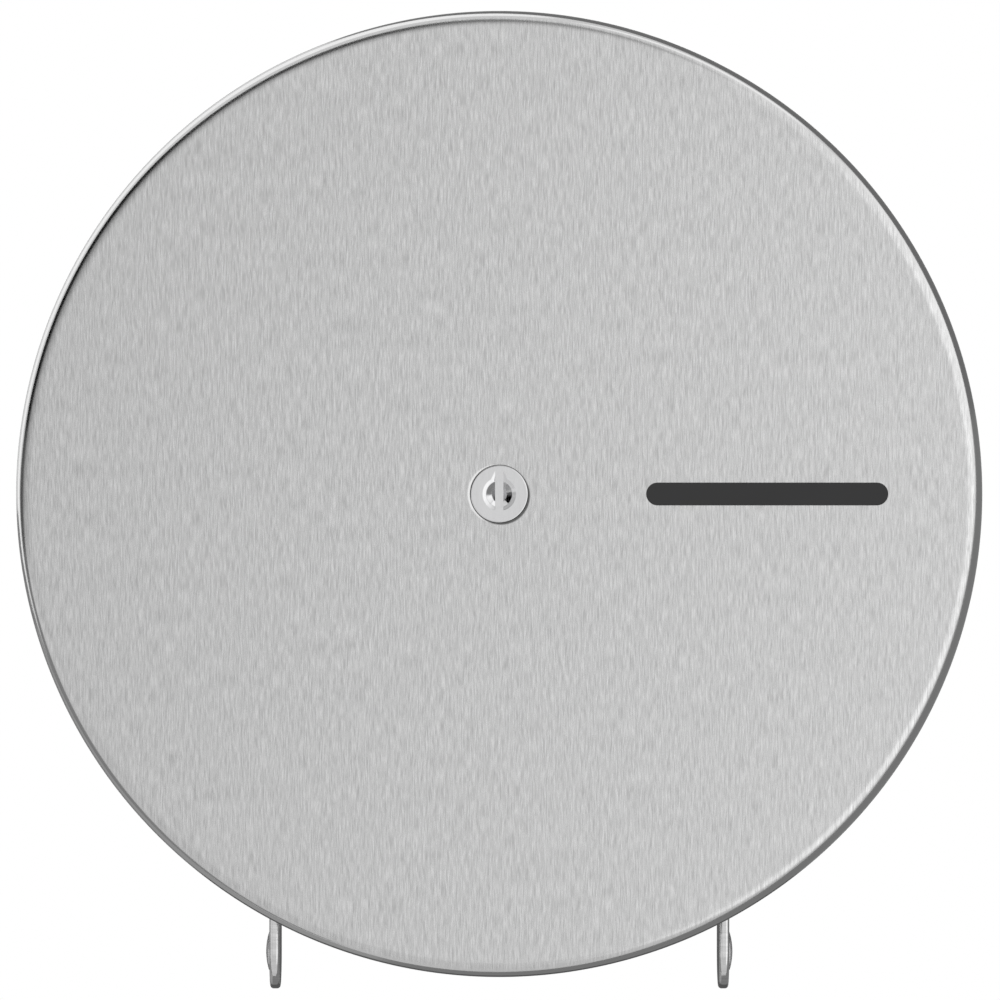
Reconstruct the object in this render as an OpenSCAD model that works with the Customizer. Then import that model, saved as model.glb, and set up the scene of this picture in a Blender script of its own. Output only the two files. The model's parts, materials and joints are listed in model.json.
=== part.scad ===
// Jumbo toilet roll dispenser: a round steel cabinet that hangs on a wall.
//
// Every piece is drawn as seen from the front, with its height counted from the wall,
// and hang() then stands it up: X to the right, Z up, the wall at Y = 0 and the front
// of the cabinet at minus Y. The origin is on the wall, on the axis of the paper roll.

/* [Cover] */
// Outside diameter of the cover
cover_d = 300; // [280:1:340]
// From the wall to the front face of the cover
overall_depth = 120; // [110:1:150]
// Thickness of the cover's sheet steel
cover_t = 1; // [0.8:0.1:1.4]
// Outside radius of the bend between the front and the side
front_bend = 5; // [3:0.5:8]
// Gap between the cover's rear edge and the back plate
rear_gap = 0.5; // [0.3:0.1:1.2]
// Gap all round between the cover and the lip of the back plate
cover_play = 0.8; // [0.6:0.1:1.5]

// Gap that a spot weld leaves between the cover and a piece welded inside it
weld_gap = 0.05; // [0.02:0.01:0.1]

/* [Paper exit] */
// Width of the opening in the underside
exit_w = 124; // [100:1:128]
// From the front face to the front edge of the opening
exit_front = 13; // [10:0.5:18]
// From the wall to the rear edge of the opening
exit_rear = 9; // [7:0.5:12]
// Radius of the corners of the opening
exit_corner = 6; // [3:0.5:10]

/* [Tear strips] */
// Width of a strip behind the edge of the opening
strip_w = 6; // [5:0.5:7]
// Thickness of a strip
strip_t = 1; // [0.8:0.1:1.4]
// Pitch of the teeth
tooth_pitch = 4; // [3:0.5:6]
// Length of a tooth
tooth_h = 3; // [2:0.5:4]
// Bare length of the strip at each end of the row of teeth
strip_end = 3; // [2:0.5:5]

/* [Sight slot] */
// Length of the slot
slot_l = 75; // [60:1:80]
// Height of the slot
slot_h = 7.1; // [6:0.1:10]
// From the roll axis to the middle of the slot
slot_x = 83; // [80:1:86]
// Gap between the window and the edge of the slot
window_play = 0.1; // [0.05:0.05:0.3]
// How far the window lies below the face of the cover
window_recess = 0.25; // [0.1:0.05:0.5]
// Radius of the corners of the window's flange
window_corner = 3; // [1:0.5:6]
// Thickness of the window's flange
window_t = 2; // [1.5:0.1:3]
// Width of the window's flange above and below the slot
window_border = 5; // [4:0.5:7]
// Diameter of the studs welded behind the face
stud_d = 3; // [2.5:0.1:4]
// From each end of the slot to its stud
stud_offset = 5; // [4.5:0.5:7]
// Diameter of the push nuts on the studs
push_nut_d = 8; // [7:0.5:9]
// Thickness of the push nuts
push_nut_t = 0.8; // [0.5:0.1:1.2]

/* [Hinge] */
// Gap between a lug and the tear strip beside it
lug_gap = 3.35; // [1:0.05:6]
// Thickness of a lug's sheet steel
lug_t = 0.8; // [0.6:0.1:1]
// Gap between each cheek of a lug and the bracket's eye between them
cheek_gap = 0.25; // [0.2:0.05:0.5]
// Outside radius of a lug's two folds
lug_fold = 1.1; // [1:0.1:1.4]
// Radius of the round end of a lug
lug_end_r = 12.2; // [10:0.1:12.6]
// How far the hinge axis lies above the lowest point of the cover
pivot_inset = 1; // [0:0.5:4]
// From the wall to the hinge axis
hinge_setback = 16.2; // [16:0.1:20]
// How far a lug rises inside the cover above the edge that it passes
lug_rise = 12; // [8:0.5:14]
// Length of the foot that is welded inside the cover
foot_l = 12; // [8:0.5:16]
// Gap between a lug and its notch in the cover
notch_play = 0.3; // [0.2:0.1:0.6]

/* [Hinge rivets] */
// Diameter of the rivet's shank
rivet_d = 5; // [4:0.1:6]
// Diameter of the rivet's head
rivet_head_d = 12.2; // [9:0.1:13]
// Height of the rivet's domed head
rivet_head_h = 1.4; // [0.8:0.1:2]
// Height of the upright rim round the dome
rivet_rim = 0.5; // [0.2:0.1:0.7]
// Clearance all round the shank in the bracket's eye, where the cover turns
pin_play = 0.05; // [0.02:0.01:0.09]

/* [Hinge brackets] */
// Thickness of a bracket's sheet steel
bracket_t = 1.2; // [1:0.1:1.8]
// Radius of the eye round the rivet
eye_r = 5.5; // [5:0.1:7]
// Height of the foot on the back plate
foot_h = 20; // [16:1:24]
// Width of the foot on the back plate
foot_w = 20; // [16:1:24]
// From the edge of the back plate to the foot
foot_edge = 2; // [1:0.5:4]
// Diameter of the rivets through the foot
foot_rivet_d = 4; // [3:0.1:5]

/* [Back plate] */
// Thickness of the back plate
plate_t = 1.5; // [1:0.1:2]
// How far the lip of the plate stands out from the wall
lip_h = 13; // [9:0.5:14]
// Outside radius of the fold between the plate and its lip
lip_fold = 2.5; // [2:0.1:4]
// Angle below the horizontal at which the lip ends on each side
lip_drop = 15; // [5:1:18]
// Spacing of the four wall screws, across and up
hole_spacing = 160; // [150:1:172]
// Diameter of the holes for the wall screws
hole_d = 6.5; // [5:0.1:8]
// Middle radius of the pressed stiffening ring
bead_r = 88; // [70:1:92]
// Width of the pressed ring
bead_w = 12; // [8:0.5:14]
// Height of the pressed ring
bead_h = 1.2; // [0.8:0.1:1.6]

/* [Spindle post] */
// Outside diameter of the tubular post
post_d = 28; // [26:0.5:30]
// Wall of the post
post_wall = 1.5; // [1.2:0.1:1.8]
// Diameter of the post's base flange
base_d = 62; // [58:1:66]
// Thickness of the base flange
base_t = 2; // [1.5:0.1:3]
// Radius of the weld fillet at the foot of the post
weld_r = 1.5; // [1:0.5:3]
// Diameter of the circle of rivets through the base
base_rivet_pcd = 48; // [46:1:50]
// Number of rivets through the base
base_rivets = 4; // [3:1:6]
// Diameter of those rivets
base_rivet_d = 4; // [3:0.1:5]
// Depth of their countersunk heads
base_rivet_head_h = 1.2; // [0.8:0.1:1.4]

/* [Core holder] */
// Outside diameter of the seat for the roll's core
core_d = 43; // [42:0.5:60]
// Wall thickness of the moulding
core_wall = 2; // [1.6:0.1:2.2]
// Diameter of the flange behind the roll
core_flange_d = 84; // [76:1:100]
// Thickness of the flange
core_flange_t = 2.5; // [2:0.1:4]
// Clearance all round between the core holder and the post
core_play = 0.08; // [0.03:0.01:0.09]
// Slope of the nose that guides the roll's core on
core_nose = 4; // [2:0.5:6]
// Number of webs between the two sleeves of the moulding
core_webs = 6; // [4:1:8]
// Thickness of a web
web_t = 1.6; // [1.2:0.1:2]
// Number of round holes in the flange
flange_holes = 6; // [4:1:8]
// Diameter of the round holes in the flange
flange_hole_d = 11; // [8:0.5:13]
// Radial width of the two thrust washers
washer_w = 5; // [4:0.5:6]
// Thickness of the thrust washers
washer_t = 1; // [0.6:0.1:1.5]
// Gap along the post beside a part that turns or slides on
end_play = 0.2; // [0.1:0.05:0.4]

/* [Retaining ring] */
// Thickness of the ring
ring_t = 1.2; // [1:0.1:1.5]
// Depth of the groove in the post
groove_depth = 0.6; // [0.4:0.1:0.8]
// Radial width of the ring
ring_w = 3; // [2.5:0.1:4]
// Angle of the gap in the ring
ring_gap = 50; // [30:5:70]
// From the front end of the post to the groove
ring_setback = 7.5; // [7:0.5:10]

/* [Keeper] */
// Thickness of the keeper plate
keeper_t = 1.5; // [1.2:0.1:2]
// From the roll axis to the straight edge of the keeper
keeper_edge = 4.4; // [4.2:0.1:5]
// How far the keeper's leg reaches down the post
leg_l = 5; // [4:0.1:5.5]
// Angle that the leg covers round the post
leg_angle = 50; // [40:5:70]
// Diameter of the rivet through the leg
leg_rivet_d = 2.4; // [2:0.1:3]

/* [Lock body] */
// Diameter of the lock's flange
lock_flange_d = 18.2; // [17:0.1:21]
// Height of the flange on the face of the cover
lock_flange_t = 1.2; // [1:0.1:2]
// Radius of the rounded edge of the flange
lock_flange_edge = 0.6; // [0.3:0.05:0.8]
// Diameter of the lock's body
lock_d = 15.6; // [15:0.1:16.2]
// Width across the two flats of the body
lock_flats = 13.6; // [13:0.1:14.4]
// Length of the body behind the face of the cover
lock_l = 15; // [13:0.5:18]
// Clearance all round between a fixed piece and its hole
fit_play = 0.1; // [0.05:0.05:0.2]
// Width of the lock nut across its flats
nut_flats = 22; // [20:0.5:24]
// Thickness of the lock nut
nut_t = 4; // [3:0.5:5]

/* [Lock plug] */
// Diameter of the key hole in the flange
key_hole_d = 8.3; // [7:0.1:9]
// Width of the bevel round the key hole
key_bevel = 1.05; // [0.5:0.05:1.2]
// Depth of that bevel
key_bevel_h = 0.5; // [0.3:0.05:0.8]
// Diameter of the plug that turns in the body
plug_d = 11; // [10:0.1:12]
// Clearance all round the plug
plug_play = 0.05; // [0.02:0.01:0.09]
// Width of the blade across the key hole, and of its notch
blade_w = 2.6; // [2:0.1:3]
// Depth of the top of the blade below the face of the flange
blade_depth = 1.6; // [1.2:0.1:2.4]
// Slope of the hollow on both sides of the blade
hollow_slope = 38; // [20:1:45]
// Width of the plug's rim round the hollow
key_rim = 0.1; // [0.1:0.05:0.4]
// From the lock's axis to the end of the notch
notch_reach = 7.2; // [6.5:0.1:7.6]
// Depth of the notch below the flange
notch_depth = 0.3; // [0.2:0.05:0.5]
// How far the notch's two sloping sides spread where they meet the key hole
flare_w = 1.7; // [1:0.1:2]
// Depth of those sides where they meet the key hole
flare_h = 0.75; // [0.4:0.05:0.9]
// Thickness of the snap ring that holds the plug in
snap_ring_t = 0.8; // [0.6:0.1:1]
// How deep the snap ring sits in the wall of the body
snap_ring_seat = 0.4; // [0.3:0.05:0.6]
// From the rear of the body to the snap ring
snap_ring_setback = 0.8; // [0.6:0.1:1.2]

/* [Lock cam] */
// Thickness of the cam
cam_t = 2; // [1.5:0.1:2.5]
// Width of the cam
cam_w = 6.6; // [6:0.1:7]
// From the lock's axis to the tip of the cam
cam_r = 11.2; // [10:0.1:11.4]
// Gap between the cam and the keeper that it turns behind
cam_gap = 0.6; // [0.4:0.1:1.2]
// Gap between the lock body and the keeper
body_gap = 2; // [1.5:0.1:3]
// Width of the square shaft that carries the cam
shaft_w = 4.4; // [4:0.1:4.6]
// Diameter of the cam screw's head
screw_head_d = 6.2; // [5.5:0.1:6.6]
// Height of the cam screw's head
screw_head_h = 2; // [1.5:0.1:2.5]
// Diameter of the cam screw's shank
screw_d = 3; // [2.5:0.1:3]
// Length of the shank in the plug
screw_l = 5; // [4:0.5:6]
// Space left in the plug beyond the shank
screw_tip = 0.2; // [0.1:0.1:0.5]
// Thickness of the washer under the cam screw
cam_washer_t = 0.6; // [0.5:0.1:1]

/* [Hidden] */
$fn = 128;

// Overlap that joins two shapes of one piece, and run-out of a cut past the surface it cuts
join = 0.5;
past = 1;

// Cover: radii, and heights above the wall
cover_r = cover_d / 2;
cover_ri = cover_r - cover_t;
face_z = overall_depth;
inner_z = face_z - cover_t;
rear_z = plate_t + rear_gap;

// Hinge: the lugs stand at plus and minus lug_x and turn about pivot_y, hinge_setback
lug_w = bracket_t + 2 * (cheek_gap + lug_t);
lug_x = exit_w / 2 + strip_w + lug_gap + lug_w / 2;
pivot_y = pivot_inset - cover_r;
lug_top_y = lug_rise - sqrt(cover_ri ^ 2 - lug_x ^ 2);
rivet_r = rivet_d / 2;

// Back plate
plate_r = cover_ri - cover_play;
foot_y = foot_edge - sqrt(plate_r ^ 2 - lug_x ^ 2);

// Lock and spindle, counted back from the face of the cover
lock_rear_z = face_z - lock_l;
keeper_z = lock_rear_z - body_gap - keeper_t;
cam_z = keeper_z - cam_gap - cam_t;
snap_ring_z = lock_rear_z + snap_ring_setback;
plug_rear_z = snap_ring_z + snap_ring_t + plug_play;
shaft_end_z = cam_z;
post_end_z = keeper_z;
post_r = post_d / 2;
groove_z = post_end_z - ring_setback;
base_z = plate_t + base_t;

// Core holder, between its two washers
rear_washer_z = base_z;
core_z = rear_washer_z + washer_t + end_play;
ring_z = groove_z - ring_t;
front_washer_z = ring_z - washer_t;
core_end_z = front_washer_z - end_play;
bore_r = post_r + core_play;
core_r = core_d / 2;
washer_ri = post_r + fit_play;

// Window and its studs
window_l = slot_l + 2 * (stud_offset + push_nut_d / 2 + 1);
window_h = slot_h + 2 * window_border;
stud_x = slot_l / 2 + stud_offset;
stud_l = window_t + push_nut_t + 1.5;

// Stands a piece up on the wall
module hang() {
    rotate([90, 0, 0]) children();
}

// Extrudes an outline drawn in (x, height) between two levels of y
module along_y(y0, y1) {
    translate([0, y1, 0]) rotate([90, 0, 0]) linear_extrude(y1 - y0) children();
}

// Extrudes an outline drawn in (y, height) between two places along x
module along_x(x0, x1) {
    translate([x0, 0, 0]) rotate([90, 0, 90]) linear_extrude(x1 - x0) children();
}

module tube(r_out, r_in, z0, z1) {
    difference() {
        translate([0, 0, z0]) cylinder(r = r_out, h = z1 - z0);
        translate([0, 0, z0 - past]) cylinder(r = r_in, h = z1 - z0 + 2 * past);
    }
}

module rounded_rect(w, h, r) {
    square([w - 2 * r, h], center = true);
    square([w, h - 2 * r], center = true);
    for (sx = [-1, 1], sy = [-1, 1])
        translate([sx * (w / 2 - r), sy * (h / 2 - r)]) circle(r);
}

// A bar with round ends
module stadium(l, h) {
    square([l - h, h], center = true);
    for (s = [-1, 1]) translate([s * (l - h) / 2, 0]) circle(h / 2);
}

// Spherical head of a rivet that stands on height 0
module dome(d, h) {
    ball_r = ((d / 2) ^ 2 + h ^ 2) / (2 * h);
    rotate_extrude() intersection() {
        translate([0, h - ball_r]) circle(ball_r);
        square([d, h]);
    }
}

// Half outline of a cup with a rounded front edge, for turning about the roll axis
module cup_outline(r, z0, z1, bend) {
    translate([0, z0]) square([r, z1 - z0 - bend]);
    translate([0, z0]) square([r - bend, z1 - z0]);
    translate([r - bend, z1 - bend]) circle(bend);
}

// Circle with two flats, upright
module double_d(d, flats) {
    intersection() {
        circle(d = d);
        square([flats, d + 1], center = true);
    }
}

// ---- Cover ------------------------------------------------------------------------

module exit_cut() {
    exit_l = face_z - exit_front - exit_rear;
    along_y(-cover_r - past, -cover_r / 2)
        translate([0, exit_rear + exit_l / 2]) rounded_rect(exit_w, exit_l, exit_corner);
}

module lug_notch(side) {
    notch_w = lug_w + 2 * notch_play;
    notch_z = hinge_setback + lug_end_r + notch_play;
    translate([side * lug_x - notch_w / 2, -cover_r, -past])
        cube([notch_w, cover_r / 2, notch_z + past]);
}

module cover_shell() {
    color("silver") hang() {
        difference() {
            rotate_extrude() difference() {
                cup_outline(cover_r, rear_z, face_z, front_bend);
                cup_outline(cover_ri, rear_z - past, inner_z, front_bend - cover_t);
            }
            exit_cut();
            lug_notch(1);
            lug_notch(-1);
            translate([slot_x, 0, inner_z - past]) linear_extrude(cover_t + 2 * past)
                stadium(slot_l, slot_h);
            translate([0, 0, inner_z - past]) linear_extrude(cover_t + 2 * past)
                double_d(lock_d + 2 * fit_play, lock_flats + 2 * fit_play);
        }
        for (s = [-1, 1]) translate([slot_x + s * stud_x, 0, inner_z - stud_l])
            cylinder(d = stud_d, h = stud_l + cover_t / 2);
    }
}

// Saw-toothed strip, drawn flat and then cut to the curve of the cover
module tear_strip(side) {
    strip_l = face_z - exit_front - exit_rear;
    teeth = floor((strip_l - 2 * strip_end) / tooth_pitch);
    first = (strip_l - teeth * tooth_pitch) / 2;
    tooth = [[0, 0], [-tooth_h, tooth_pitch / 2]];
    points = [for (i = [0 : teeth - 1], p = tooth) p + [0, first + i * tooth_pitch]];
    color("gainsboro") hang() mirror([side < 0 ? 1 : 0, 0, 0]) intersection() {
        tube(cover_ri - weld_gap, cover_ri - weld_gap - strip_t, 0, face_z);
        along_y(-cover_r, -cover_r / 2) translate([exit_w / 2, exit_rear])
            polygon(concat(
                [[strip_w, 0], [0, 0]], points, [[0, strip_l - first], [0, strip_l], [strip_w, strip_l]]
            ));
    }
}

module tear_strip_left() {
    tear_strip(-1);
}

module tear_strip_right() {
    tear_strip(1);
}

// ---- Hinge ------------------------------------------------------------------------

// Outline of a lug across its two folds, drawn in (x, distance from the hinge axis)
module lug_channel() {
    half = lug_w / 2;
    difference() {
        union() {
            translate([-half, 0]) square([lug_w, lug_end_r - lug_fold]);
            translate([-half + lug_fold, 0]) square([lug_w - 2 * lug_fold, lug_end_r]);
            for (s = [-1, 1]) translate([s * (half - lug_fold), lug_end_r - lug_fold]) circle(lug_fold);
        }
        translate([-half + lug_t, -past]) square([lug_w - 2 * lug_t, lug_end_r - lug_t + past]);
    }
}

// One cheek of a lug seen from the side, about the pivot
module lug_cheek() {
    cheek_r = lug_end_r - lug_fold;
    circle(cheek_r);
    translate([0, -cheek_r]) square([lug_top_y - pivot_y, 2 * cheek_r]);
}

// A lug folded from sheet: two cheeks round the bracket's eye, joined by a web that runs
// down the front and curls under the rivet, and a foot along the inside of the cover
module hinge_lug(side) {
    color("silver") hang() mirror([side < 0 ? 1 : 0, 0, 0]) difference() {
        union() {
            translate([lug_x, 0, hinge_setback]) {
                along_y(pivot_y, lug_top_y) lug_channel();
                translate([0, pivot_y, 0]) rotate([0, 90, 0]) rotate([0, 0, 180])
                    rotate_extrude(angle = 90) mirror([1, -1]) lug_channel();
                for (s = [0, 1]) mirror([s, 0, 0]) along_x(lug_w / 2 - lug_t, lug_w / 2)
                    translate([pivot_y, 0]) lug_cheek();
            }
            intersection() {
                tube(cover_ri - weld_gap, cover_ri - weld_gap - lug_t, rear_z, face_z);
                translate([lug_x + lug_w / 2 - lug_t, -cover_r, hinge_setback - lug_end_r + 2])
                    cube([lug_t + foot_l, cover_r / 2, 2 * lug_end_r - 4]);
            }
        }
        translate([lug_x - lug_w, pivot_y, hinge_setback]) rotate([0, 90, 0])
            cylinder(r = rivet_r, h = 2 * lug_w);
    }
}

module hinge_lug_left() {
    hinge_lug(-1);
}

module hinge_lug_right() {
    hinge_lug(1);
}

module hinge_rivet(side) {
    color("gainsboro") hang() mirror([side < 0 ? 1 : 0, 0, 0])
        translate([lug_x - lug_w / 2, pivot_y, hinge_setback]) rotate([0, 90, 0]) {
            cylinder(r = rivet_r, h = lug_w);
            translate([0, 0, lug_w]) cylinder(d = rivet_head_d, h = rivet_rim);
            translate([0, 0, lug_w + rivet_rim]) dome(rivet_head_d, rivet_head_h - rivet_rim);
        }
}

module hinge_rivet_left() {
    hinge_rivet(-1);
}

module hinge_rivet_right() {
    hinge_rivet(1);
}

// Where a line from point p touches the circle of radius r about c, on one side or the other
function touch_point(c, r, p, side) =
    let (d = p - c, l = norm(d), a = side * acos(r / l))
    c + r / l * [d.x * cos(a) - d.y * sin(a), d.x * sin(a) + d.y * cos(a)];

// An angle bracket: its foot lies on the back plate and its eye reaches into the lug
module hinge_bracket(side) {
    eye = [pivot_y, hinge_setback];
    low = [foot_y, plate_t];
    high = [foot_y + foot_h, plate_t];
    color("silver") hang() mirror([side < 0 ? 1 : 0, 0, 0]) difference() {
        union() {
            along_x(lug_x - bracket_t / 2, lug_x + bracket_t / 2) {
                translate(eye) circle(eye_r);
                polygon([
                    low, touch_point(eye, eye_r, low, -1), eye, touch_point(eye, eye_r, high, 1), high
                ]);
            }
            translate([lug_x + bracket_t / 2 - foot_w, foot_y, plate_t]) cube([foot_w, foot_h, bracket_t]);
        }
        translate([lug_x - lug_w, pivot_y, hinge_setback]) rotate([0, 90, 0])
            cylinder(r = rivet_r + pin_play, h = 2 * lug_w);
        bracket_rivet_places() translate([0, 0, -past])
            cylinder(d = foot_rivet_d, h = plate_t + bracket_t + 2 * past);
    }
}

// The two rivets of the right-hand foot
module bracket_rivet_places() {
    for (h = [0.25, 0.75]) translate([lug_x - foot_w * 0.6, foot_y + h * foot_h, 0]) children();
}

module hinge_bracket_left() {
    hinge_bracket(-1);
}

module hinge_bracket_right() {
    hinge_bracket(1);
}

// A rivet set flush with the back of the plate, with a low dome in front
module plate_rivet(d, grip) {
    cylinder(d = d, h = grip);
    translate([0, 0, grip]) dome(1.8 * d, 0.4 * d);
}

module bracket_rivets() {
    color("gray") hang() for (s = [0, 1]) mirror([s, 0, 0])
        bracket_rivet_places() plate_rivet(foot_rivet_d, plate_t + bracket_t);
}

// ---- Back plate -------------------------------------------------------------------

// Half outline of the plate: a disc with a pressed ring, folded forward into a lip at its rim
module plate_outline() {
    fold_r = plate_r - lip_fold;
    half = bead_w / 2;
    ring = [[-half, 0], [bead_h - half, bead_h], [half - bead_h, bead_h], [half, 0]];
    back = [for (p = ring) p + [bead_r, 0]];
    front = [for (i = [3 : -1 : 0]) ring[i] + [bead_r, plate_t]];
    polygon(concat([[0, 0]], back, [[fold_r, 0], [fold_r, plate_t]], front, [[0, plate_t]]));
    difference() {
        union() {
            translate([fold_r, lip_fold]) circle(lip_fold);
            translate([fold_r, lip_fold]) square([lip_fold, lip_h - lip_fold]);
        }
        translate([fold_r, lip_fold]) circle(lip_fold - plate_t);
        translate([fold_r - past, lip_fold]) square([lip_fold - plate_t + past, lip_h]);
        translate([fold_r - lip_fold - past, 0]) square([lip_fold + past, lip_h]);
    }
}

// The lip is cut away round the bottom, where the side of the cover swings up and forward
module back_plate() {
    color("silver") hang() difference() {
        rotate_extrude() plate_outline();
        rotate([0, 0, 180 + lip_drop]) rotate_extrude(angle = 180 - 2 * lip_drop)
            translate([plate_r - lip_fold - past, plate_t]) square([lip_fold + 2 * past, lip_h]);
        for (sx = [-1, 1], sy = [-1, 1])
            translate([sx * hole_spacing / 2, sy * hole_spacing / 2, -past])
                cylinder(d = hole_d, h = plate_t + 2 * past);
        for (s = [0, 1]) mirror([s, 0, 0]) bracket_rivet_places() translate([0, 0, -past])
            cylinder(d = foot_rivet_d, h = plate_t + 2 * past);
        post_rivet_places() translate([0, 0, -past]) cylinder(d = base_rivet_d, h = plate_t + 2 * past);
    }
}

// ---- Spindle ----------------------------------------------------------------------

module post_rivet_places() {
    for (i = [0 : base_rivets - 1]) rotate([0, 0, 45 + 360 / base_rivets * i])
        translate([base_rivet_pcd / 2, 0, 0]) children();
}

// Tube with a base flange, a weld fillet and a groove for the retaining ring
module spindle_post() {
    color("silver") hang() difference() {
        rotate_extrude() {
            post_ri = post_r - post_wall;
            translate([post_ri, plate_t]) square([base_d / 2 - post_ri, base_t]);
            translate([post_ri, plate_t]) square([post_wall, post_end_z - plate_t]);
            difference() {
                translate([post_r - join, base_z - join]) square(weld_r + join);
                translate([post_r + weld_r, base_z + weld_r]) circle(weld_r);
            }
        }
        tube(post_r + past, post_r - groove_depth, groove_z - ring_t, groove_z);
        post_rivet_places() countersunk_rivet(past);
        keeper_rivet_place() cylinder(d = leg_rivet_d, h = post_d);
    }
}

module post_rivets() {
    color("gray") hang() post_rivet_places() countersunk_rivet(0);
}

// A rivet flush at both ends, because the core holder turns close in front of it.
// Its hole is the same shape, longer by over at each end.
module countersunk_rivet(over) {
    head_r = base_rivet_d / 2 + base_rivet_head_h;
    translate([0, 0, -over]) cylinder(d = base_rivet_d, h = base_z + over);
    translate([0, 0, base_z - base_rivet_head_h])
        cylinder(r1 = base_rivet_d / 2, r2 = head_r, h = base_rivet_head_h);
    if (over > 0) translate([0, 0, base_z]) cylinder(r = head_r, h = over);
}

module rear_thrust_washer() {
    color("white") hang()
        tube(post_r + weld_r + washer_w, post_r + weld_r, rear_washer_z, rear_washer_z + washer_t);
}

module front_thrust_washer() {
    color("white") hang()
        tube(washer_ri + washer_w, washer_ri, front_washer_z, front_washer_z + washer_t);
}

// Spring ring with an eye at each end for the pliers
module retaining_ring() {
    ring_ri = post_r - groove_depth;
    eye_d = ring_w;
    color("dimgray") hang() translate([0, 0, ring_z]) difference() {
        union() {
            rotate([0, 0, 270 + ring_gap / 2]) rotate_extrude(angle = 360 - ring_gap)
                translate([ring_ri, 0]) square([ring_w, ring_t]);
            ring_eye_places() cylinder(d = eye_d + 1.2, h = ring_t);
        }
        ring_eye_places() translate([0, 0, -past]) cylinder(d = eye_d / 2, h = ring_t + 2 * past);
        translate([0, 0, -past]) cylinder(r = ring_ri, h = ring_t + 2 * past);
    }
}

module ring_eye_places() {
    for (s = [-1, 1]) rotate([0, 0, 270 + s * ring_gap / 2])
        translate([post_r + ring_w / 2 + 0.4, 0, 0]) children();
}

// Turns a rivet so that it runs out through the leg of the keeper
module keeper_rivet_place() {
    translate([0, 0, post_end_z - leg_l / 2]) rotate([0, 90, 0]) children();
}

// Half-moon plate across one side of the post's mouth, with a leg down the post
module keeper_plate() {
    leg_r = post_r + keeper_t;
    color("lightgray") hang() difference() {
        union() {
            intersection() {
                translate([0, 0, keeper_z]) cylinder(r = leg_r, h = keeper_t);
                translate([keeper_edge, -leg_r, keeper_z]) cube([leg_r, 2 * leg_r, keeper_t]);
            }
            rotate([0, 0, -leg_angle / 2]) rotate_extrude(angle = leg_angle)
                translate([post_r, post_end_z - leg_l]) square([keeper_t, leg_l + keeper_t]);
        }
        keeper_rivet_place() cylinder(d = leg_rivet_d, h = post_d);
    }
}

module keeper_rivet() {
    color("gray") hang() keeper_rivet_place() translate([0, 0, post_r - post_wall]) {
        cylinder(d = leg_rivet_d, h = post_wall + keeper_t);
        translate([0, 0, post_wall + keeper_t]) dome(1.8 * leg_rivet_d, 0.4 * leg_rivet_d);
    }
}

// Half outline of the core holder: an inner sleeve on the post and an outer one for the
// core, joined at the front by a sloped nose, with a flange behind the roll
module core_outline() {
    sleeve_r = bore_r + core_wall;
    shell_ri = core_r - core_wall;
    nose_r = core_r - core_nose / 2;
    polygon([
        [bore_r, core_z + weld_r], [sleeve_r, core_z + weld_r], [sleeve_r, core_end_z - core_wall],
        [nose_r - core_wall, core_end_z - core_wall], [shell_ri, core_end_z - core_nose], [shell_ri, core_z],
        [core_flange_d / 2, core_z], [core_flange_d / 2, core_z + core_flange_t],
        [core_r, core_z + core_flange_t], [core_r, core_end_z - core_nose],
        [nose_r, core_end_z], [bore_r, core_end_z]
    ]);
}

module core_holder() {
    web_r = bore_r + core_wall / 2;
    web_z = core_z + weld_r + join;
    color("whitesmoke") hang() difference() {
        union() {
            rotate_extrude() core_outline();
            for (i = [0 : core_webs - 1]) rotate([0, 0, 360 / core_webs * i])
                translate([web_r, -web_t / 2, web_z])
                    cube([core_r - core_wall / 2 - web_r, web_t, core_end_z - core_nose - web_z]);
        }
        for (i = [0 : flange_holes - 1]) rotate([0, 0, 360 / flange_holes * (i + 0.5)])
            translate([(core_r + core_flange_d / 2) / 2, 0, core_z - past])
                cylinder(d = flange_hole_d, h = core_flange_t + 2 * past);
    }
}

// ---- Sight window -----------------------------------------------------------------

module stud_places() {
    for (s = [-1, 1]) translate([slot_x + s * stud_x, 0, 0]) children();
}

module sight_window() {
    color("#333333") hang() difference() {
        translate([slot_x, 0, 0]) {
            translate([0, 0, inner_z - window_t]) linear_extrude(window_t)
                rounded_rect(window_l, window_h, window_corner);
            translate([0, 0, inner_z - join]) linear_extrude(join + cover_t - window_recess)
                stadium(slot_l - 2 * window_play, slot_h - 2 * window_play);
        }
        stud_places() translate([0, 0, inner_z - window_t - past])
            cylinder(d = stud_d + 2 * fit_play, h = window_t + 2 * past);
    }
}

module window_push_nuts() {
    color("dimgray") hang() stud_places() translate([0, 0, inner_z - window_t - push_nut_t]) difference() {
        cylinder(d = push_nut_d, h = push_nut_t);
        translate([0, 0, -past]) cylinder(d = stud_d, h = push_nut_t + 2 * past);
    }
}

// ---- Lock -------------------------------------------------------------------------

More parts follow.
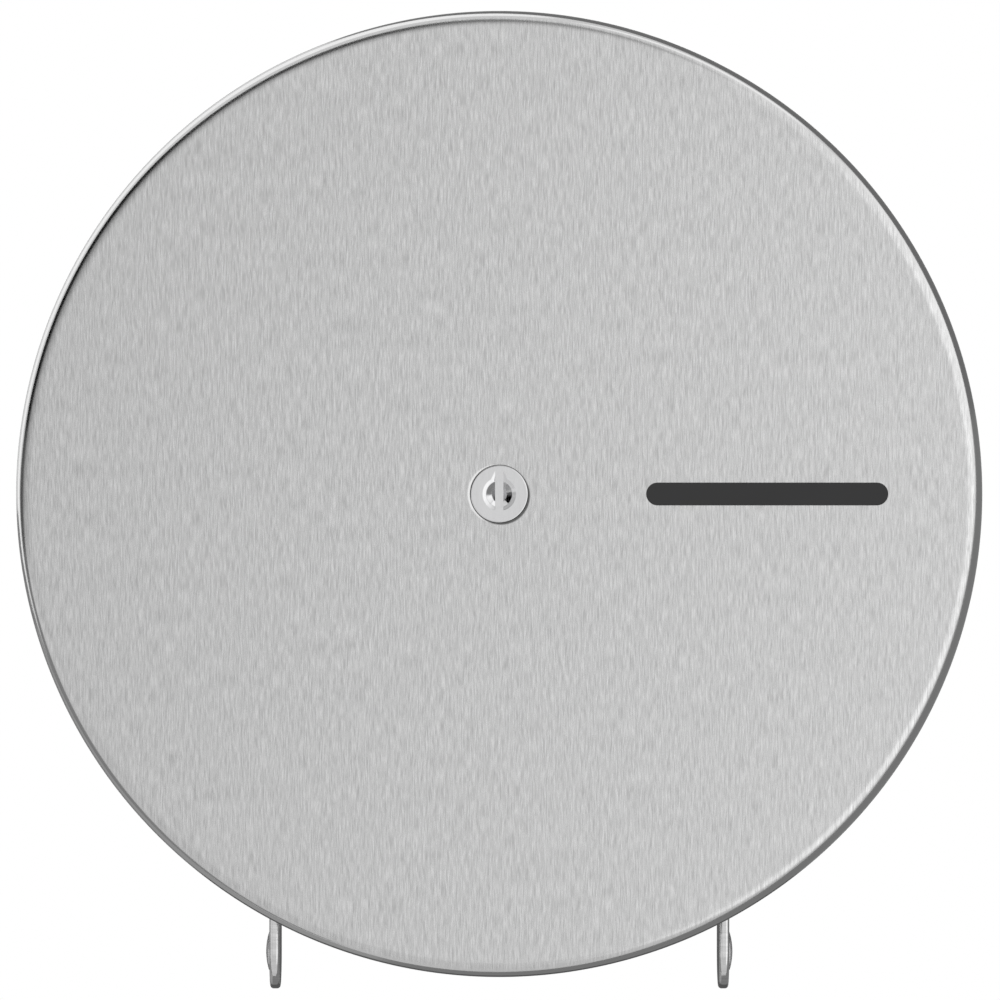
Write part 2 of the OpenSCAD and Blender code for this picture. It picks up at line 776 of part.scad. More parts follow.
// Flanged body with two flats, bored for the plug from behind. The bevel round the key hole
// stops at the blade's strip, where a notch with two sloping sides runs up
module lock_body() {
    front_z = face_z + lock_flange_t;
    key_r = key_hole_d / 2;
    bevel_spread = key_bevel / key_bevel_h;
    color("gainsboro") hang() difference() {
        union() {
            rotate_extrude() cup_outline(lock_flange_d / 2, face_z, front_z, lock_flange_edge);
            translate([0, 0, lock_rear_z]) linear_extrude(lock_l + join) double_d(lock_d, lock_flats);
        }
        translate([0, 0, lock_rear_z - past]) cylinder(d = key_hole_d, h = lock_l + lock_flange_t + 2 * past);
        translate([0, 0, lock_rear_z - past]) cylinder(d = plug_d, h = lock_l + past);
        translate([0, 0, snap_ring_z]) cylinder(r = plug_d / 2 + snap_ring_seat, h = snap_ring_t);
        difference() {
            translate([0, 0, front_z - key_bevel_h])
                cylinder(r1 = key_r, r2 = key_r + bevel_spread * (key_bevel_h + past), h = key_bevel_h + past);
            translate([-blade_w / 2, -lock_flange_d / 2, front_z - lock_flange_t])
                cube([blade_w, lock_flange_d, lock_flange_t + 2 * past]);
        }
        translate([-blade_w / 2, 0, front_z - notch_depth]) cube([blade_w, notch_reach, notch_depth + past]);
        for (s = [0, 1]) mirror([s, 0, 0]) translate([blade_w / 2, 0, front_z]) notch_flare();
    }
}

// What is cut beside the notch: a sloping side that fades out at the notch's end
module notch_flare() {
    low_y = key_hole_d / 2 - 0.6;
    run = notch_reach - low_y;
    turn = atan(flare_w / run);
    slope = atan(flare_h / (flare_w * cos(turn)));
    intersection() {
        translate([0, low_y, -lock_flange_t]) cube([flare_w, run, lock_flange_t + past]);
        translate([0, notch_reach, 0]) rotate([0, 0, turn]) rotate([0, -slope, 0])
            translate([-2 * flare_w, -2 * run, 0]) cube([2 * flare_w, 2 * run, 3]);
    }
}

module lock_nut() {
    color("silver") hang() translate([0, 0, inner_z - nut_t]) difference() {
        cylinder(d = nut_flats / cos(30), h = nut_t, $fn = 6);
        translate([0, 0, -past]) cylinder(d = lock_d + 2 * fit_play, h = nut_t + 2 * past);
    }
}

// Ring sprung into the bore behind the plug, with a gap to close it by
module plug_snap_ring() {
    ring_r = plug_d / 2 + snap_ring_seat;
    gap_w = plug_d / 6;
    color("dimgray") hang() difference() {
        tube(ring_r, shaft_w * 0.75, snap_ring_z, snap_ring_z + snap_ring_t);
        translate([-gap_w / 2, -ring_r - past, snap_ring_z - past])
            cube([gap_w, ring_r, snap_ring_t + 2 * past]);
    }
}

// Plug whose hollow front is crossed by a blade, with a square shaft for the cam
module lock_plug() {
    front_z = face_z + lock_flange_t;
    shoulder_z = face_z - plug_play;
    neck_z = front_z - key_bevel_h - plug_play;
    neck_r = key_hole_d / 2 - plug_play;
    hollow_r = neck_r - key_rim;
    hollow_h = hollow_r * tan(hollow_slope);
    blade_z = front_z - blade_depth;
    color("gainsboro") hang() difference() {
        union() {
            translate([0, 0, plug_rear_z]) cylinder(r = plug_d / 2 - plug_play, h = shoulder_z - plug_rear_z);
            translate([0, 0, shoulder_z - join]) cylinder(r = neck_r, h = neck_z - shoulder_z + join);
            translate([-shaft_w / 2, -shaft_w / 2, shaft_end_z])
                cube([shaft_w, shaft_w, plug_rear_z - shaft_end_z + join]);
        }
        difference() {
            translate([0, 0, neck_z - hollow_h])
                cylinder(r1 = 0, r2 = hollow_r + past / tan(hollow_slope), h = hollow_h + past);
            translate([-blade_w / 2, -neck_r, neck_z - hollow_h - past])
                cube([blade_w, 2 * neck_r, blade_z - neck_z + hollow_h + past]);
        }
        translate([-blade_w / 2, -neck_r - key_rim, blade_z])
            cube([blade_w, 2 * (neck_r + key_rim), neck_z - blade_z + past]);
        translate([0, 0, shaft_end_z - past]) cylinder(d = screw_d, h = screw_l + past);
    }
}

// Flat cam that reaches up at rest and turns behind the keeper
module lock_cam() {
    hub_r = cam_w / 2 + 0.4;
    color("lightgray") hang() translate([0, 0, cam_z]) difference() {
        union() {
            cylinder(r = hub_r, h = cam_t);
            intersection() {
                cylinder(r = cam_r, h = cam_t);
                translate([-cam_w / 2, 0, 0]) cube([cam_w, cam_r, cam_t]);
            }
        }
        translate([-shaft_w / 2, -shaft_w / 2, -past]) cube([shaft_w, shaft_w, cam_t + 2 * past]);
    }
}

module cam_washer() {
    color("silver") hang() tube(screw_head_d / 2 + 0.3, screw_d / 2 + fit_play, cam_z - cam_washer_t, cam_z);
}

module cam_screw() {
    color("gray") hang() translate([0, 0, cam_z - cam_washer_t]) difference() {
        union() {
            cylinder(d = screw_d, h = screw_l + cam_washer_t - screw_tip);
            mirror([0, 0, 1]) dome(screw_head_d, screw_head_h);
        }
        for (a = [0, 90]) rotate([0, 0, a]) translate([-screw_head_d / 4, -0.4, -screw_head_h - past])
            cube([screw_head_d / 2, 0.8, past + 1]);
    }
}

back_plate();
hinge_bracket_left();
hinge_bracket_right();
bracket_rivets();
spindle_post();
post_rivets();
rear_thrust_washer();
front_thrust_washer();
retaining_ring();
keeper_plate();
keeper_rivet();
core_holder();
cover_shell();
tear_strip_left();
tear_strip_right();
hinge_lug_left();
hinge_lug_right();
hinge_rivet_left();
hinge_rivet_right();
sight_window();
window_push_nuts();
lock_body();
lock_nut();
plug_snap_ring();
lock_plug();
lock_cam();
cam_washer();
cam_screw();
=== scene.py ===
import json
import math

import bmesh
import bpy
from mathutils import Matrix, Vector


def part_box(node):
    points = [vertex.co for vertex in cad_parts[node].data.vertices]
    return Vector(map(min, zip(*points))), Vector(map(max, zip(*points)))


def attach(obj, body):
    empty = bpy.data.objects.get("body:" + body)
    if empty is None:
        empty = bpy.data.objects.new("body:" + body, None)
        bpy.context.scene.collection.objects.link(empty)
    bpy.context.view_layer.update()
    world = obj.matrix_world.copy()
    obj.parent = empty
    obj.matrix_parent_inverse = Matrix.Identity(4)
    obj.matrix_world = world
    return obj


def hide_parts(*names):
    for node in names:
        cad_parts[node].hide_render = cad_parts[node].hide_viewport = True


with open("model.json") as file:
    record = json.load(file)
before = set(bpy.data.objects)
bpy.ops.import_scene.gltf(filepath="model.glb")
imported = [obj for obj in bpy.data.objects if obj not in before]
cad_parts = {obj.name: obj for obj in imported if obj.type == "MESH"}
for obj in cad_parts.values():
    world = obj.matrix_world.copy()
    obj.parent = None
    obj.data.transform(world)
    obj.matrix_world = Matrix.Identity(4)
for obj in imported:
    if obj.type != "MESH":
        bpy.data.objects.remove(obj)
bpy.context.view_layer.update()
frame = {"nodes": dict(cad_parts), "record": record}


# ---------------------------------------------------------------- node helpers

# For each kind of value: the Mix node's first input of that kind, and its output
MIX_SOCKETS = {"FLOAT": (2, 0), "VECTOR": (4, 1), "RGBA": (6, 2)}


class Graph:
    """A short way to write a node tree: every call makes one node or a few, and returns the last output."""

    def __init__(self, owner):
        owner.use_nodes = True
        self.tree = owner.node_tree
        self.tree.nodes.clear()

    def node(self, kind, inputs=(), out=0, **settings):
        """One node. An input is another node's output, which is linked, or a plain value."""
        made = self.tree.nodes.new(kind)
        for key, value in settings.items():
            setattr(made, key, value)
        for key, value in dict(inputs).items():
            if isinstance(value, bpy.types.NodeSocket):
                self.tree.links.new(value, made.inputs[key])
            else:
                made.inputs[key].default_value = value
        return made.outputs[out]

    def math(self, operation, a, b=0.0):
        return self.node("ShaderNodeMath", {0: a, 1: b}, operation=operation)

    def vector(self, operation, *values, out=0):
        return self.node("ShaderNodeVectorMath", dict(enumerate(values)), out, operation=operation)

    def remap(self, value, low, high, to_low, to_high, smooth=False):
        return self.node(
            "ShaderNodeMapRange",
            {"Value": value, "From Min": low, "From Max": high, "To Min": to_low, "To Max": to_high},
            interpolation_type="SMOOTHSTEP" if smooth else "LINEAR",
        )

    def place(self):
        """The object's own coordinates, in metres."""
        return self.node("ShaderNodeTexCoord", out="Object")

    def along(self, axis):
        """The X, Y or Z of the object's own coordinates."""
        return self.node("ShaderNodeSeparateXYZ", {0: self.place()}, axis)

    def off_axis(self, x, z):
        """The distance from a line along Y through (x, z)."""
        flat = self.vector("MULTIPLY_ADD", self.place(), (1, 0, 1), (-x, 0, -z))
        return self.vector("LENGTH", flat, out="Value")

    def disc(self, x, z, inner, outer):
        """1 inside a round spot about (x, z), falling to 0 from the inner to the outer radius."""
        return self.remap(self.off_axis(x, z), inner, outer, 1, 0)

    def noise(self, scale, detail=2.0, rough=0.5, place=None, out=0):
        """Noise over the object's own coordinates, or over place. Scale is a number or (x, y, z), in
        features per metre."""
        spread = (scale,) * 3 if isinstance(scale, (int, float)) else scale
        where = self.vector("MULTIPLY", place or self.place(), spread)
        shape = {"Vector": where, "Scale": 1.0, "Detail": detail, "Roughness": rough}
        return self.node("ShaderNodeTexNoise", shape, out)

    def blend(self, share, a, b):
        """The given share of a and the rest of b, added up."""
        return self.math("ADD", self.math("MULTIPLY", a, share), self.math("MULTIPLY", b, 1 - share))

    def mix(self, factor, a, b, kind="FLOAT"):
        """a where factor is 0, and b where it is 1."""
        first, out = MIX_SOCKETS[kind]
        return self.node("ShaderNodeMix", {0: factor, first: a, first + 1: b}, out, data_type=kind)

    def tint(self, factor, dark, light):
        """A colour from dark to light as factor goes from 0 to 1."""
        return self.mix(factor, (*dark, 1), (*light, 1), "RGBA")

    def paint(self, factor, under, colour):
        """The node colour under, covered by a plain colour where factor is 1."""
        return self.mix(factor, under, (*colour, 1), "RGBA")

    def bump(self, height, depth, strength):
        return self.node("ShaderNodeBump", {"Height": height, "Distance": depth, "Strength": strength})

    def principled(self, inputs):
        return self.node("ShaderNodeBsdfPrincipled", inputs)

    def surface(self, shader, kind="ShaderNodeOutputMaterial"):
        end = self.tree.nodes.new(kind)
        self.tree.links.new(shader, end.inputs["Surface"])


def new_material(name):
    made = bpy.data.materials.new(name)
    return made, Graph(made)


def shade(colour, share):
    return tuple(c * share for c in colour)


def grey(level):
    return (level, level, level)


# ---------------------------------------------------------------- materials

# The part of a noise's values that makes a finish go from one end to the other: for brush marks, satin
# sheet, zinc plate, and the faint unevenness of the rest
BRUSH_RANGE = (0.34, 0.66)
SATIN_RANGE = (0.35, 0.65)
ZINC_RANGE = (0.25, 0.65)
SOFT_RANGE = (0.3, 0.7)

# How high the grain of satin and zinc-plated steel stands, in metres, for its bump
GRAIN_DEPTH = 0.00001

PLASTIC_IOR = 1.49

# Painted highlight and painted shadow on the cover's face behind the lock's flange, which is 9 mm in
# radius: spots of (x, z, inner, outer radius).
# They lie a little off its middle, so that a bright crescent of painted highlight and a dark crescent of
# painted shadow show round it.
GLINT = (-0.00080, 0.00005, 0.0087, 0.0093)
SHADOW = (0.00052, -0.00052, 0.0088, 0.0092)


def brushed_shell():
    """The cover: short upright brush marks on its face, smoother in the bend, and brushing round its wall.

    The outside of its face is at y = -0.120 and the inside at -0.119. The bend ends at y = -0.115 and
    starts 0.145 from the axis."""
    made, g = new_material("brushed_shell")
    y = g.along("Y")
    outside = g.remap(y, -0.1197, -0.1193, 1, 0)
    past_face = g.remap(y, -0.1198, -0.1189, 0, 1, smooth=True)
    rim = g.remap(g.disc(0, 0, 0.1435, 0.1445), 0, 1, past_face, 0)
    bend = g.math("MULTIPLY", rim, g.remap(y, -0.1156, -0.1136, 1, 0, smooth=True))
    wall = g.remap(y, -0.1175, -0.1155, 0, 1, smooth=True)

    sway = g.vector("MULTIPLY", g.noise((170, 0, 120), 1, out="Color"), (0.0007, 0, 0))
    swept = g.vector("ADD", g.place(), sway)
    fine = g.mix(wall, g.noise((2500, 0, 200), 2, 0.6, swept), g.noise((110, 2300, 110), 2.5, 0.7))
    broad = g.mix(wall, g.noise((900, 0, 90), 2, 0.5, swept), g.noise((30, 700, 30), 2))
    grain = g.blend(0.76, fine, broad)
    cloud = g.noise(14, 2)

    marks = g.tint(g.remap(grain, *BRUSH_RANGE, 0, 1), grey(0.430), grey(0.665))
    calm = g.paint(bend, marks, grey(0.55))
    # Painted highlight, then painted shadow: a bright and a dark crescent round the lock's flange, on the
    # outside of the face only
    lit = g.paint(g.math("MULTIPLY", outside, g.disc(*GLINT)), calm, grey(0.90))
    colour = g.paint(g.math("MULTIPLY", outside, g.disc(*SHADOW)), lit, grey(0.13))
    uneven = g.remap(cloud, *SOFT_RANGE, -0.015, 0.015)
    brushed = g.math("ADD", g.remap(grain, *BRUSH_RANGE, 0.31, 0.23), uneven)
    across = g.node("ShaderNodeTangent", direction_type="RADIAL", axis="Z")
    round_wall = g.node("ShaderNodeTangent", direction_type="RADIAL", axis="Y")
    g.surface(g.principled({
        "Base Color": colour,
        "Metallic": 1.0,
        "Roughness": g.mix(bend, brushed, g.remap(grain, *BRUSH_RANGE, 0.15, 0.11)),
        "Anisotropic": 0.35,
        "Tangent": g.mix(wall, across, round_wall, "VECTOR"),
        "Normal": g.bump(grain, 0.00002, 0.3),
    }))
    return made


def satin_steel(name, colour, rough, brush):
    """Satin sheet or turned steel: a soft grain with the brushing's scale given by axis."""
    made, g = new_material(name)
    grain = g.noise(brush, 3)
    mixed = g.blend(0.75, grain, g.noise(26, 2))
    g.surface(g.principled({
        "Base Color": g.tint(g.remap(mixed, *SATIN_RANGE, 0, 1), shade(colour, 0.88), shade(colour, 1.06)),
        "Metallic": 1.0,
        "Roughness": g.remap(mixed, *SATIN_RANGE, rough + 0.05, rough - 0.04),
        "Normal": g.bump(grain, GRAIN_DEPTH, 0.4),
    }))
    return made


def zinc(name, colour, rough):
    """Zinc plate: crystalline patches a few millimetres across over a faint grain."""
    made, g = new_material(name)
    cells = g.node("ShaderNodeTexVoronoi", {"Vector": g.place(), "Scale": 420.0})
    grain = g.noise(2600, 2)
    mixed = g.blend(0.4, cells, grain)
    g.surface(g.principled({
        "Base Color": g.tint(g.remap(mixed, *ZINC_RANGE, 0, 1), shade(colour, 0.85), shade(colour, 1.08)),
        "Metallic": 1.0,
        "Roughness": g.remap(mixed, *ZINC_RANGE, rough + 0.06, rough - 0.05),
        "Normal": g.bump(grain, GRAIN_DEPTH, 0.3),
    }))
    return made


def chrome(name, colour, rough):
    """Polished plate with faint wiping marks, and a painted shadow as a dark line round the flange's edge,
    thicker at the lower right. The lower part of the key hole's bevel is shaded a little flatter than it
    is, apart from the strip below the upright bar."""
    made, g = new_material(name)
    wipe = g.noise((900, 900, 120), 2)
    away = g.off_axis(-0.00004, 0.00005)
    # Painted shadow: the flange's outer edge is painted dark, measured from a middle a little up and to the
    # left so that the line is wider at the lower right
    painted_shadow_line = g.remap(away, 0.00876, 0.00888, 0, 1)
    bevel = g.remap(away, 0.00415, 0.0052, 0.00018, 0)
    beside_bar = g.remap(g.math("ABSOLUTE", g.along("X")), 0.0013, 0.0014, 0, 1)
    lower = g.math("MULTIPLY", g.remap(g.along("Z"), 0.0005, -0.0005, 0, 1), beside_bar)
    plate = g.tint(wipe, shade(colour, 0.95), shade(colour, 1.03))
    g.surface(g.principled({
        "Base Color": g.paint(painted_shadow_line, plate, grey(0.10)),
        "Metallic": 1.0,
        "Roughness": g.remap(wipe, *SOFT_RANGE, rough + 0.03, rough - 0.02),
        "Normal": g.bump(bevel, 1.0, lower),
    }))
    return made


def moulded(name, colour, rough, texture, depth):
    """Moulded plastic with a spark-eroded surface and a faint change of colour."""
    made, g = new_material(name)
    cloud = g.noise(38, 3)
    g.surface(g.principled({
        "Base Color": g.tint(g.remap(cloud, *SOFT_RANGE, 0, 1), shade(colour, 0.965), shade(colour, 1.01)),
        "Roughness": g.remap(cloud, *SOFT_RANGE, rough - 0.03, rough + 0.04),
        "IOR": PLASTIC_IOR,
        "Normal": g.bump(g.noise(texture, 2), depth, 0.5),
    }))
    return made


def smoked(name):
    """Smoked window plastic: near black, glossy, with the faint waviness of an extruded sheet."""
    made, g = new_material(name)
    wave = g.noise((55, 0, 110), 1)
    g.surface(g.principled({
        "Base Color": g.tint(wave, (0.0045, 0.0045, 0.005), (0.0070, 0.0070, 0.0075)),
        "Roughness": g.remap(wave, *SOFT_RANGE, 0.10, 0.14),
        "IOR": PLASTIC_IOR,
        "Normal": g.bump(wave, 0.00003, 0.3),
    }))
    return made


# Metals are given by colour and roughness, and satin ones by their grain's features per metre along X, Y
# and Z. Moulded plastics are given by colour, roughness, and their texture's features per metre and depth.
finishes = {
    "brushed_shell": brushed_shell(),
    "steel_sheet": satin_steel("steel_sheet", (0.60, 0.60, 0.60), 0.36, (1500, 900, 80)),
    "lug_steel": satin_steel("lug_steel", (0.59, 0.59, 0.59), 0.11, (90, 90, 1500)),
    "rivet_steel": satin_steel("rivet_steel", (0.56, 0.56, 0.565), 0.26, (1800, 500, 500)),
    "spring_steel": satin_steel("spring_steel", (0.20, 0.20, 0.215), 0.38, (700, 1500, 700)),
    "post_steel": satin_steel("post_steel", (0.58, 0.58, 0.585), 0.28, (70, 1600, 70)),
    "core_plastic": moulded("core_plastic", (0.78, 0.78, 0.755), 0.50, 2400, 0.00003),
    "washer_nylon": moulded("washer_nylon", (0.82, 0.815, 0.775), 0.42, 1500, 0.00001),
    "window_plastic": smoked("window_plastic"),
    "lock_chrome": chrome("lock_chrome", (0.62, 0.62, 0.625), 0.12),
    "zinc_steel": zinc("zinc_steel", (0.50, 0.50, 0.49), 0.38),
}
for row in frame["record"]["subparts"]:
    for slot in frame["nodes"][row["node"]].material_slots:
        slot.material = finishes[row["material_slot"]]


# ---------------------------------------------------------------- mesh helpers

def skirt(made, one, two, closed=True):
    """Faces between two rows of as many vertices. A closed row's last vertex also joins its first."""
    for i in range(len(one) if closed else len(one) - 1):
        j = (i + 1) % len(one)
        made.faces.new((one[i], one[j], two[j], two[i]))


def as_mesh(made, name):
    """The bmesh as a mesh of its own. The bmesh is freed."""
    mesh = bpy.data.meshes.new(name)
    made.to_mesh(mesh)
    made.free()
    return mesh


def in_scene(name, mesh):
    made = bpy.data.objects.new(name, mesh)
    bpy.context.scene.collection.objects.link(made)
    return made


def turned_shell(name, profile, steps):
    """A sheet-metal cup turned about Y. profile is an outline of (radius, y) whose first and last rings are
    closed by the two sides of the flat face."""
    made = bmesh.new()
    turns = [i * math.tau / steps for i in range(steps)]
    rings = [
        [made.verts.new((radius * math.cos(t), y, radius * math.sin(t))) for t in turns]
        for radius, y in profile
    ]
    for one, two in zip(rings, rings[1:]):
        skirt(made, one, two)
    made.faces.new(rings[0][::-1])
    made.faces.new(rings[-1])
    bmesh.ops.recalc_face_normals(made, faces=made.faces)
    return as_mesh(made, name)


def bend_points(radius, y, bend, steps=16):
    """From the flat face at y round the bend to the side wall, as (radius, y)."""
    return [
        (radius - bend + bend * math.sin(a), y + bend - bend * math.cos(a))
        for a in (i * math.pi / 2 / steps for i in range(steps + 1))
    ]


def arc(cx, cy, r, start, end, steps=24):
    """Points on an arc about (cx, cy), with start and end in degrees."""
    turns = [math.radians(start + (end - start) * i / steps) for i in range(steps + 1)]
    return [(cx + r * math.cos(t), cy + r * math.sin(t)) for t in turns]


def prism(outline, axis, low, high):
    """An outline drawn out along an axis from low to high: of (x, z) along Y, or of (x, y) along Z."""
    made = bmesh.new()
    ends = [
        [made.verts.new((a, level, b) if axis == "Y" else (a, b, level)) for a, b in outline]
        for level in (low, high)
    ]
    for end in ends:
        made.faces.new(end)
    skirt(made, *ends)
    bmesh.ops.recalc_face_normals(made, faces=made.faces)
    return as_mesh(made, "cutter")


def joined(meshes):
    """All the meshes as one. The meshes are removed."""
    made = bmesh.new()
    for mesh in meshes:
        made.from_mesh(mesh)
        bpy.data.meshes.remove(mesh)
    return as_mesh(made, "tools")


def boolean(target, mesh, operation):
    """Cuts the mesh out of the target, or adds it, and leaves no modifier. The mesh is removed."""
    tool = in_scene("tool", mesh)
    step = target.modifiers.new("cut", "BOOLEAN")
    step.operation = operation
    step.solver = "EXACT"
    step.object = tool
    bpy.context.view_layer.update()
    done = bpy.data.meshes.new_from_object(target.evaluated_get(bpy.context.evaluated_depsgraph_get()))
    target.modifiers.clear()
    old = target.data
    target.data = done
    bpy.data.meshes.remove(old)
    bpy.data.objects.remove(tool)
    bpy.data.meshes.remove(mesh)


def smooth_below(target, degrees):
    """Smooth shading, apart from edges where the faces meet at this angle or more."""
    shape = bmesh.new()
    shape.from_mesh(target.data)
    for face in shape.faces:
        face.smooth = True
    for edge in shape.edges:
        if len(edge.link_faces) == 2:
            edge.smooth = edge.calc_face_angle(0) < math.radians(degrees)
    shape.to_mesh(target.data)
    shape.free()


# ---------------------------------------------------------------- cover

# The sizes of the cover's CAD node that its box doesn't give, in metres.
# The sheet, and the outer radius of its front bend
SHEET, BEND = 0.001, 0.005
# A ring this far inside the bend keeps the bend's smooth shading off the flat face
EASE = 0.0004
# The paper exit: its width, its corners' radius, its front edge's place behind the face, and its rear edge
EXIT_W, EXIT_CORNER, EXIT_FROM_FACE, EXIT_REAR = 0.124, 0.006, 0.013, -0.009
# The sight slot: its middle, length and height
SLOT_X, SLOT_L, SLOT_H = 0.083, 0.075, 0.0071
# The lock's hole: its radius, and its two flats' distance from the middle
LOCK_R, LOCK_FLAT = 0.0079, 0.0069
# The hinge's distance from the wall, the radius of a lug's end about it, and the lugs' middle and width
HINGE_OFF_WALL, LUG_END_R, LUG_X, LUG_W = 0.0162, 0.0122, 0.0730, 0.0033
# The gap that a notch leaves round its lug
LUG_GAP = 0.0003
# The studs beside the slot: their radius, their length, and their distance from the slot's ends
STUD_R, STUD_L, STUD_PAST_SLOT = 0.0015, 0.0043, 0.005
# How far a cutter reaches past the sheet
MARGIN = 0.001
# Faces round the cover, a corner of the exit, and a stud
STEPS_ROUND, STEPS_CORNER, STEPS_STUD = 512, 8, 32


def exit_outline(face):
    """The paper exit's rounded rectangle, in (x, y)."""
    front, rear = face + EXIT_FROM_FACE, EXIT_REAR
    outline = []
    for x_side, y_side, start in ((1, -1, 270), (1, 1, 0), (-1, 1, 90), (-1, -1, 180)):
        cx = x_side * (EXIT_W / 2 - EXIT_CORNER)
        cy = front + EXIT_CORNER if y_side < 0 else rear - EXIT_CORNER
        outline += arc(cx, cy, EXIT_CORNER, start, start + 90, STEPS_CORNER)
    return outline


def slot_outline():
    """The sight slot, with round ends, in (x, z)."""
    half = (SLOT_L - SLOT_H) / 2
    return arc(SLOT_X + half, 0, SLOT_H / 2, -90, 90) + arc(SLOT_X - half, 0, SLOT_H / 2, 90, 270)


def lock_outline():
    """The lock's round hole with a flat on the right and on the left, in (x, z)."""
    reach = math.degrees(math.acos(LOCK_FLAT / LOCK_R))
    return arc(0, 0, LOCK_R, reach, 180 - reach) + arc(0, 0, LOCK_R, 180 + reach, 360 - reach)


def notch_outline(x):
    """The notch for a lug in the cover's rear edge, in (x, y)."""
    half = LUG_W / 2 + LUG_GAP
    front = -(HINGE_OFF_WALL + LUG_END_R + LUG_GAP)
    return [(x - half, front), (x + half, front), (x + half, MARGIN), (x - half, MARGIN)]


def cover_skin():
    """The cover again, of the same shape and size as its CAD node, with enough faces in the front bend to
    reflect the studio without facets."""
    low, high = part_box("cover_shell")
    radius, face, rear = high.x, low.y, high.y
    start = radius - BEND - EASE
    outer = [(start, face)] + bend_points(radius, face, BEND) + [(radius, rear)]
    inner = [(start, face + SHEET)] + bend_points(radius - SHEET, face + SHEET, BEND - SHEET)
    profile = outer + [(radius - SHEET, rear)] + inner[::-1]
    skin = in_scene("cover_skin", turned_shell("cover_skin", profile, STEPS_ROUND))

    through_wall = (-radius, -radius / 2)
    through_face = (face - MARGIN, face + SHEET + MARGIN)
    cuts = [
        prism(exit_outline(face), "Z", through_wall[0] - MARGIN, through_wall[1]),
        prism(slot_outline(), "Y", *through_face),
        prism(lock_outline(), "Y", *through_face),
    ]
    cuts += [prism(notch_outline(side * LUG_X), "Z", *through_wall) for side in (-1, 1)]
    boolean(skin, joined(cuts), "DIFFERENCE")

    studs = []
    for side in (-1, 1):
        stud_x = SLOT_X + side * (SLOT_L / 2 + STUD_PAST_SLOT)
        outline = arc(stud_x, 0, STUD_R, 0, 360, STEPS_STUD)[:-1]
        studs.append(prism(outline, "Y", face + SHEET / 2, face + SHEET + STUD_L))
    boolean(skin, joined(studs), "UNION")

    smooth_below(skin, 25)
    skin.data.materials.clear()
    skin.data.materials.append(finishes["brushed_shell"])
    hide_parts("cover_shell")
    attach(skin, "cover")


cover_skin()


# ---------------------------------------------------------------- studio

# The cards hang round this point on the cover's axis, level with the rear end of its front bend
CARD_MIDDLE = Vector((0, -0.115, 0))
# A card's mesh: rows from one entry of its edge to the next, and columns from its near to its far edge
CARD_ROWS, CARD_COLUMNS = 4, 6


def world_light(level):
    """Even white light from all round."""
    made = bpy.data.worlds.new("studio")
    bpy.context.scene.world = made
    g = Graph(made)
    light = g.node("ShaderNodeBackground", {"Color": (1, 1, 1, 1), "Strength": level})
    g.surface(light, "ShaderNodeOutputWorld")


def towards(round_deg, off_deg):
    """A direction: off_deg from the one to the camera, turned round_deg from the right towards the top."""
    r, a = math.radians(round_deg), math.radians(off_deg)
    return Vector((math.sin(a) * math.cos(r), -math.cos(a), math.sin(a) * math.sin(r)))


def flag(name, level, edge, distance=1.5):
    """A curved grey card round the object, as a photographer hangs beside polished steel. Only reflections
    see it. edge is [(round_deg, nearest off_deg, farthest off_deg)], and distance is in metres."""
    rows = []
    for (r0, n0, f0), (r1, n1, f1) in zip(edge, edge[1:]):
        for i in range(CARD_ROWS):
            t = i / CARD_ROWS
            rows.append((r0 + (r1 - r0) * t, n0 + (n1 - n0) * t, f0 + (f1 - f0) * t))
    rows.append(edge[-1])
    made = bmesh.new()
    points = []
    for r, n, f in rows:
        offs = [n + (f - n) * k / CARD_COLUMNS for k in range(CARD_COLUMNS + 1)]
        points.append([made.verts.new(CARD_MIDDLE + towards(r, off) * distance) for off in offs])
    for one, two in zip(points, points[1:]):
        skirt(made, one, two, closed=False)
    card = in_scene(name, as_mesh(made, name))
    card.visible_camera = False
    card.visible_shadow = False
    card.visible_diffuse = False
    paint, g = new_material(name)
    g.surface(g.node("ShaderNodeEmission", {"Color": (*grey(level), 1), "Strength": 1.0}))
    card.data.materials.append(paint)


def floor(height, radius, corners=96):
    """A pale round floor that can't be seen from below."""
    turns = [i * math.tau / corners for i in range(corners)]
    ring = [(radius * math.cos(t), radius * math.sin(t), height) for t in turns]
    mesh = bpy.data.meshes.new("floor")
    mesh.from_pydata(ring, [], [tuple(range(corners))])
    made = in_scene("floor", mesh)
    paint, g = new_material("floor")
    pale = g.principled({"Base Color": g.tint(g.noise(3, 2), grey(0.83), grey(0.86)), "Roughness": 0.7})
    below = g.node("ShaderNodeNewGeometry", out="Backfacing")
    clear = g.node("ShaderNodeBsdfTransparent")
    g.surface(g.node("ShaderNodeMixShader", {0: below, 1: pale, 2: clear}))
    mesh.materials.append(paint)


world_light(1.0)
floor(-1.70, 6.0)

# Bright cards that light the rim from the lower right round to the upper right
flag("bright_side", 1.52, [
    (-70, 38, 48), (-55, 22, 55), (-25, 18, 57), (0, 18, 62), (8, 18, 74), (16, 18, 80), (27, 18, 80),
])
flag("bright_turn", 1.38, [(27, 18, 80), (34, 18, 82), (42, 20, 83)])
flag("bright_fade", 1.22, [(42, 20, 83), (50, 26, 68), (62, 36, 66)])
flag("bright_high", 1.5, [(50, 68, 84), (66, 70, 84), (80, 73, 82)])

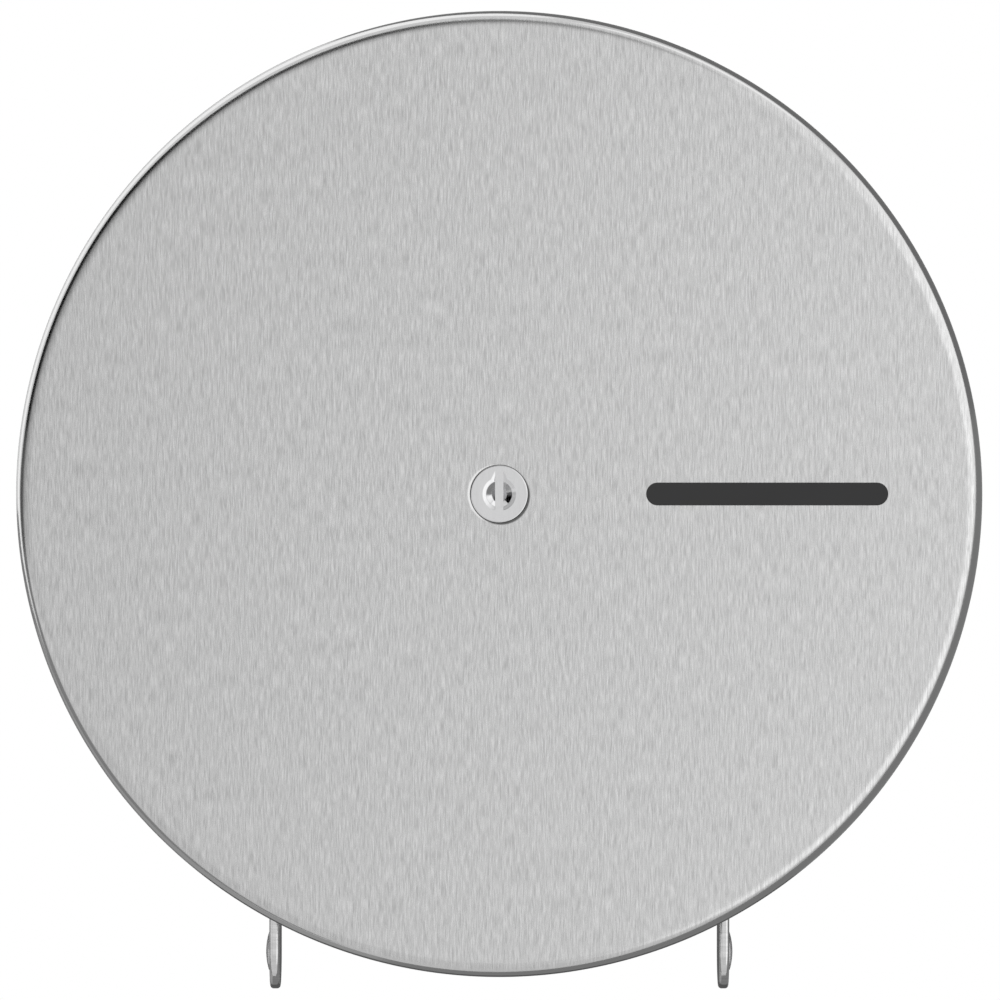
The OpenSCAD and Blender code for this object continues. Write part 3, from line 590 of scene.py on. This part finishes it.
# Dark and grey cards beside and behind the object, for the rim's outer band from the left round by the
# bottom and the right to the top
flag("dark_side", 0.30, [
    (182, 116, 150), (205, 96, 150), (240, 88, 150), (258, 85, 150), (275, 81, 150), (300, 70, 150),
    (320, 65, 150), (340, 63, 150), (352, 65, 150), (360, 73, 150), (370, 79, 150),
])
flag("dark_right", 0.24, [
    (370, 79, 150), (382, 82, 150), (395, 85, 150), (410, 89, 150), (425, 93, 150), (440, 101, 150),
    (460, 117, 150), (470, 130, 150),
])
flag("grey_side", 0.34, [
    (186, 76, 84), (200, 75, 100), (215, 74, 100), (228, 74, 90), (240, 75, 84), (250, 75, 80),
])
flag("low_left", 0.47, [
    (196, 108, 126), (205, 103, 126), (218, 99, 126), (230, 89, 126), (245, 84, 126), (256, 84, 116),
], 1.45)

# Cards for the rim's thin dark line from the left over the top, and its two ends
flag("dark_band", 0.0, [
    (172, 64, 88), (165, 61, 86), (152, 60, 85), (146, 60, 84), (138, 54, 81), (128, 49, 71), (118, 46, 67),
    (106, 44, 64),
])
flag("band_end", 0.14, [(200, 82, 92), (190, 74, 94), (180, 68, 94), (172, 64, 88)])
flag("dim_band", 0.04, [(106, 44, 64), (98, 43, 61), (92, 43, 58)])
flag("dim_end", 0.30, [(92, 43, 58), (84, 43, 55), (76, 44, 51), (68, 45, 49)])

# Paler cards for the soft inner side of that line
flag("band_soft", 0.40, [
    (186, 66, 74), (176, 57, 70), (165, 49, 68), (152, 43, 68), (140, 42, 66), (128, 40, 58), (106, 36, 56),
    (92, 34, 50), (80, 38, 46),
], 1.53)
flag("top_soft", 0.66, [
    (62, 42, 52), (74, 34, 54), (84, 26, 54), (95, 18, 54), (106, 16, 54), (120, 14, 50), (135, 14, 50),
    (150, 12, 50), (170, 20, 56), (188, 34, 66),
], 1.56)
flag("left_front", 0.83, [
    (262, 20, 36), (235, 10, 42), (200, 6, 40), (178, 6, 34), (160, 6, 30), (125, 10, 26), (98, 18, 24),
])

# Cards below and behind, and a bright one behind the rim's upper left
flag("under", 0.13, [(232, 128, 153), (270, 122, 153), (308, 128, 153)], 1.45)
flag("backdrop", 0.11, [(i * 20, 152, 180) for i in range(19)])
flag("bright_rear", 1.5, [
    (200, 104, 112), (180, 101, 120), (160, 98, 126), (140, 96, 126), (120, 89, 122), (100, 86, 114),
    (84, 84, 100),
])


# ---------------------------------------------------------------- camera

view = bpy.data.cameras.new("camera")
view.sensor_width = 36
view.lens = 225.7
view.clip_start = 0.05
view.clip_end = 50
camera = bpy.data.objects.new("camera", view)
camera.location = (0.00023, -2.062, -0.00186)
camera.rotation_euler = (math.pi / 2, 0, 0)
bpy.context.scene.collection.objects.link(camera)
bpy.context.scene.camera = camera
bpy.context.scene.view_settings.view_transform = "Standard"
